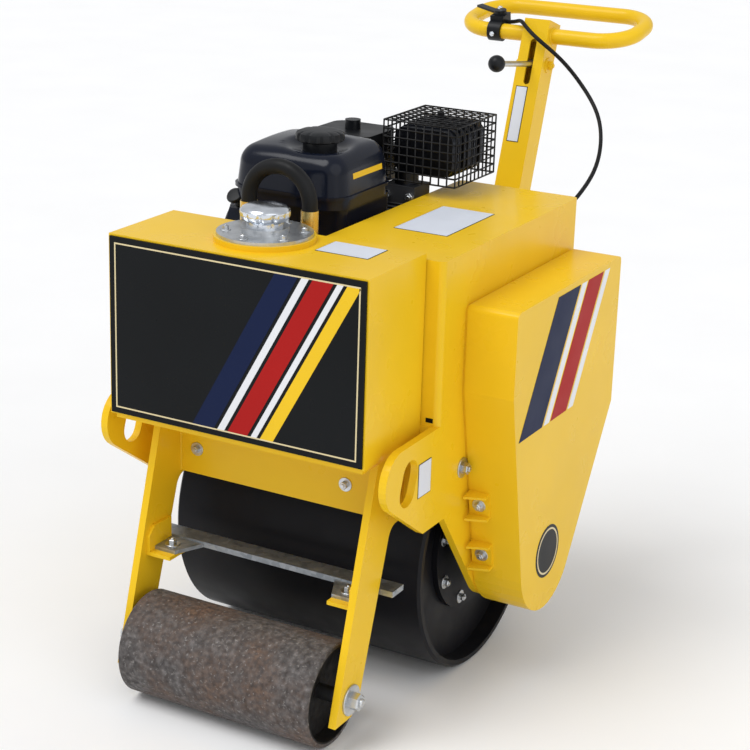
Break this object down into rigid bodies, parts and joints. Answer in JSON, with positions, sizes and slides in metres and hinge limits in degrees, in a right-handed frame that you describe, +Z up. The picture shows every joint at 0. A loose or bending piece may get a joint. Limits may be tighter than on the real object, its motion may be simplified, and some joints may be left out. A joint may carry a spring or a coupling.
{
  "type": "walk-behind road roller",
  "caption": "Walk-behind vibratory road roller with a single steel drum, a front support roller, a box water tank, an engine with a guarded muffler, drive covers and a looped steering handle.",
  "frame": {"origin": "on the floor under the middle of the part's box", "axes": "+Z up, -Y to the front (support roller side), +X to the side of the chain cover"},
  "size_m": [0.612, 1.1118, 0.9868],
  "materials": {
    "yellow_paint": "gloss",
    "black_panel": "satin",
    "drum_paint": "satin",
    "bare_steel": "matte",
    "zinc_steel": "satin",
    "chrome_cap": "gloss",
    "dark_steel": "satin",
    "engine_metal": "satin",
    "engine_paint": "gloss",
    "black_plastic": "satin",
    "black_wire": "satin",
    "black_rubber": "matte"
  },
  "bodies": {
    "chassis": {"deck": "yellow_paint", "front_beam": "yellow_paint", "rear_beam": "yellow_paint", "side_plate_right": "yellow_paint", "side_plate_left": "yellow_paint", "tank_tray": "yellow_paint", "cross_plate": "yellow_paint", "leg_right": "yellow_paint", "leg_left": "yellow_paint", "scraper_brackets": "yellow_paint", "scraper_bar": "zinc_steel", "support_axle": "dark_steel", "drum_axle": "dark_steel", "bearing_cap": "yellow_paint", "water_tank": "yellow_paint", "front_panel": "black_panel", "filler_neck": "zinc_steel", "filler_cap": "chrome_cap", "upper_cover": "yellow_paint", "chain_cover": "yellow_paint", "cover_clips": "yellow_paint", "engine_rails": "yellow_paint", "engine_block": "engine_metal", "engine_cowl": "engine_paint", "engine_cylinder": "engine_metal", "carburettor": "engine_metal", "fuel_tank": "engine_paint", "fuel_cap": "black_plastic", "recoil_starter": "engine_paint", "air_cleaner": "black_plastic", "muffler": "engine_metal", "muffler_guard": "black_wire", "hydraulic_hose": "black_rubber", "hose_fittings": "zinc_steel", "handle_bracket": "yellow_paint", "handle_column": "yellow_paint", "handle_loop": "yellow_paint", "speed_lever": "zinc_steel", "lever_knob": "black_plastic", "throttle_control": "black_plastic", "throttle_cable": "black_rubber", "cable_gland": "black_plastic"},
    "drum": {"drum_shell": "drum_paint", "drum_flanges": "drum_paint"},
    "support_roller": {"support_roller": "bare_steel"}
  },
  "joints": [
    {"name": "drum_spin", "type": "hinge", "parent": "chassis", "child": "drum", "pos_m": [-0.03, -0.10186, 0.213], "axis": [1, 0, 0], "continuous": true},
    {"name": "support_roller_spin", "type": "hinge", "parent": "chassis", "child": "support_roller", "pos_m": [-0.03, -0.47386, 0.082], "axis": [1, 0, 0], "continuous": true}
  ]
}
